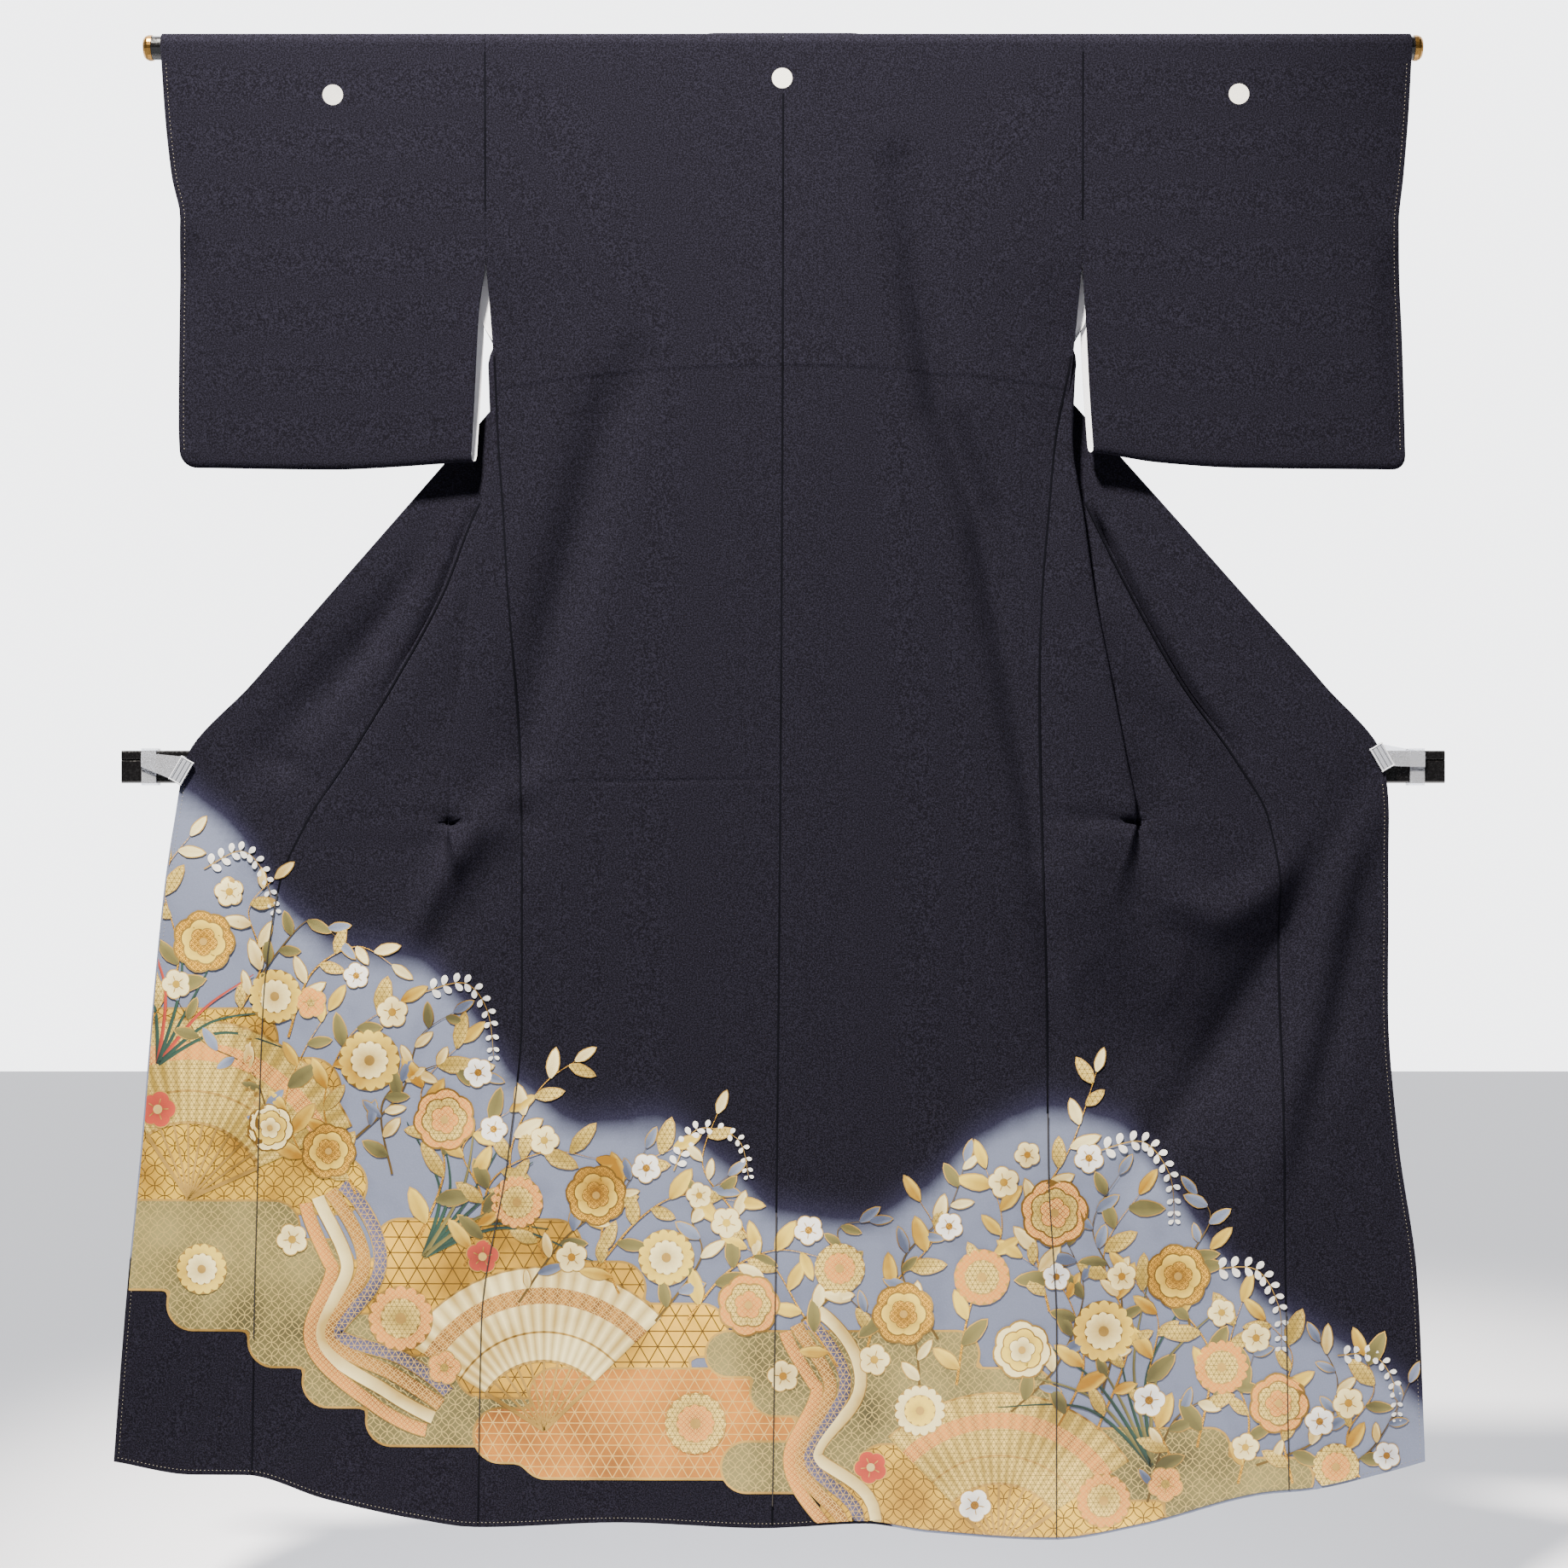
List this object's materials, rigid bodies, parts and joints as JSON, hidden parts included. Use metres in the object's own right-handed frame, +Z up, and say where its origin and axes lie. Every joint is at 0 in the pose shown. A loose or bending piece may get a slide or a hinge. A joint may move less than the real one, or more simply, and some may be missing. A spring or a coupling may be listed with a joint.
{
  "type": "tomesode kimono hung open on a lacquered rod with a clip rail",
  "caption": "Formal black kimono with long sleeves, hung with its back to the viewer over a rod, its fronts spread and clipped to a rail.",
  "frame": {"origin": "on the axis of the rod that holds the garment, half way along it", "axes": "+Z up; +X to the viewer's right along the rod; +Y away from the viewer, so the back of the garment faces -Y"},
  "size_m": [1.472, 0.0589, 1.6584],
  "materials": {
    "black_silk": "matt silk crepe lined in white silk, with a painted and embroidered hem",
    "black_lacquer": "polished black lacquer on wood",
    "brass": "polished",
    "clear_plastic": "clear moulded, ribbed"
  },
  "bodies": {
    "root": {"body_left": "black_silk", "body_right": "black_silk", "okumi_left": "black_silk", "okumi_right": "black_silk", "sleeve_left": "black_silk", "sleeve_right": "black_silk", "collar": "black_silk", "rod": "black_lacquer", "rod_cap_left": "brass", "rod_cap_right": "brass", "rail": "black_lacquer", "clip_front_left": "clear_plastic", "clip_front_right": "clear_plastic", "clip_back_left": "clear_plastic", "clip_back_right": "clear_plastic", "strap_left": "clear_plastic", "strap_right": "clear_plastic"}
  },
  "joints": []
}
